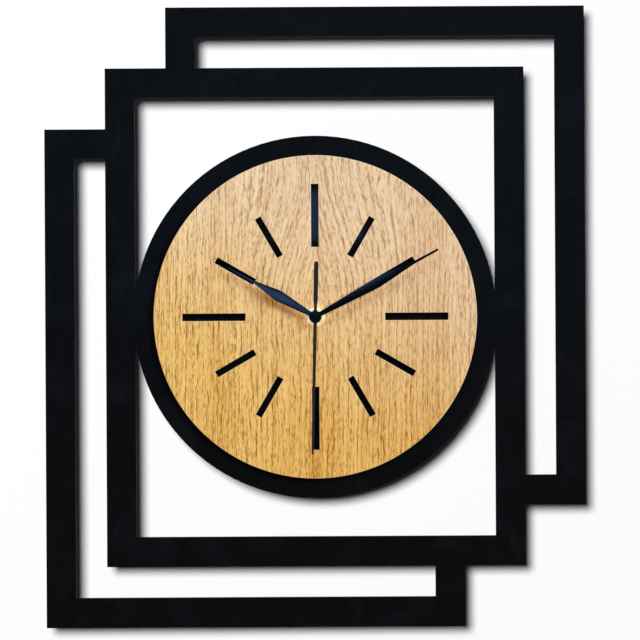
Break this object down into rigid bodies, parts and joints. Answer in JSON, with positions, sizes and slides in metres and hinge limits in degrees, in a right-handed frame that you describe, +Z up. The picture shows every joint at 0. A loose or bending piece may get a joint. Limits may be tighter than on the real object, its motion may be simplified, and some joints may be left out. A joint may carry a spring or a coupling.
{
  "type": "wall clock",
  "caption": "Wall clock of staggered black rectangular frames with a round oak dial, slotted hour marks, black hands and a battery quartz movement.",
  "frame": {"origin": "where the dial axis meets the wall, on the rear face of the movement", "axes": "+X to the right as seen from the front, +Y into the wall, +Z up"},
  "size_m": [0.3044, 0.0362, 0.3494],
  "materials": {
    "black_board": "black stain, satin lacquer",
    "oak": "clear matt lacquer, laser-cut edges",
    "black_hands": "gloss black lacquer",
    "brass": "turned, bright",
    "black_abs": "moulded, fine texture",
    "rubber": "moulded",
    "acetal": "moulded",
    "blue_acetal": "moulded",
    "steel": "drawn and blanked",
    "ferrite": "pressed and sintered",
    "motor_steel": "blanked sheet",
    "nylon": "moulded",
    "copper_wire": "enamelled",
    "glass_laminate": "green solder mask",
    "resin": "cast drop",
    "nickel_strip": "nickel plate",
    "cell_metal": "nickel plate",
    "cell_film": "shrunk film"
  },
  "bodies": {
    "clock": {"frame_board": "black_board", "oak_dial": "oak", "gasket": "rubber", "threaded_bush": "brass", "dial_washer": "brass", "dial_nut": "brass", "movement_case": "black_abs", "front_cover": "black_abs", "stator": "motor_steel", "coil_core": "motor_steel", "coil_bobbin": "nylon", "coil_winding": "copper_wire", "coil_leads": "copper_wire", "circuit_board": "glass_laminate", "chip": "resin", "quartz_crystal": "nickel_strip", "contact_positive": "nickel_strip", "contact_negative": "nickel_strip"},
    "minute": {"minute_hand": "black_hands", "minute_collet": "black_hands", "minute_tube": "brass", "centre_wheel": "acetal", "clutch_spring": "steel"},
    "hour": {"hour_hand": "black_hands", "hour_collet": "black_hands", "hour_wheel": "acetal"},
    "second": {"second_hand": "black_hands", "second_collet": "black_hands", "second_cap": "black_hands", "second_arbor": "steel", "second_wheel": "acetal"},
    "third": {"third_wheel": "acetal", "third_arbor": "steel"},
    "intermediate": {"intermediate_wheel": "acetal", "intermediate_arbor": "steel"},
    "rotor": {"rotor_pinion": "blue_acetal", "rotor_magnet": "ferrite"},
    "motion": {"motion_wheel": "acetal"},
    "setting": {"setting_knob": "black_abs", "setting_pinion": "acetal"},
    "cell": {"cell_can": "cell_metal", "cell_sleeve": "cell_film"}
  },
  "joints": [
    {"name": "minute_hand_turn", "type": "hinge", "parent": "clock", "child": "minute", "pos_m": [0, -0.012, 0], "axis": [0, 1, 0], "continuous": true},
    {"name": "hour_hand_turn", "type": "hinge", "parent": "clock", "child": "hour", "pos_m": [0, -0.012, 0], "axis": [0, 1, 0], "continuous": true},
    {"name": "second_hand_turn", "type": "hinge", "parent": "clock", "child": "second", "pos_m": [0, -0.012, 0], "axis": [0, 1, 0], "continuous": true},
    {"name": "third_wheel_turn", "type": "hinge", "parent": "clock", "child": "third", "pos_m": [-0.00642, -0.012, 0.00917], "axis": [0, 1, 0], "continuous": true},
    {"name": "intermediate_wheel_turn", "type": "hinge", "parent": "clock", "child": "intermediate", "pos_m": [0.01033, -0.012, 0.00482], "axis": [0, 1, 0], "continuous": true},
    {"name": "rotor_turn", "type": "hinge", "parent": "clock", "child": "rotor", "pos_m": [0.01703, -0.012, 0.01044], "axis": [0, 1, 0], "continuous": true},
    {"name": "motion_wheel_turn", "type": "hinge", "parent": "clock", "child": "motion", "pos_m": [-0.00886, -0.012, -0.00156], "axis": [0, 1, 0], "continuous": true},
    {"name": "setting_knob_turn", "type": "hinge", "parent": "clock", "child": "setting", "pos_m": [-0.01783, -0.012, -0.00078], "axis": [0, 1, 0], "continuous": true},
    {"name": "cell_slide", "type": "slide", "parent": "clock", "child": "cell", "axis": [0, 1, 0], "range_m": [0, 0.018]}
  ],
  "couplings": [
    {"joint": "hour_hand_turn", "follows": "minute_hand_turn", "ratio": 0.083333},
    {"joint": "second_hand_turn", "follows": "minute_hand_turn", "ratio": 60},
    {"joint": "third_wheel_turn", "follows": "minute_hand_turn", "ratio": -8},
    {"joint": "intermediate_wheel_turn", "follows": "minute_hand_turn", "ratio": -300},
    {"joint": "rotor_turn", "follows": "minute_hand_turn", "ratio": 1800},
    {"joint": "motion_wheel_turn", "follows": "minute_hand_turn", "ratio": -0.33333},
    {"joint": "setting_knob_turn", "follows": "minute_hand_turn", "ratio": 1}
  ]
}
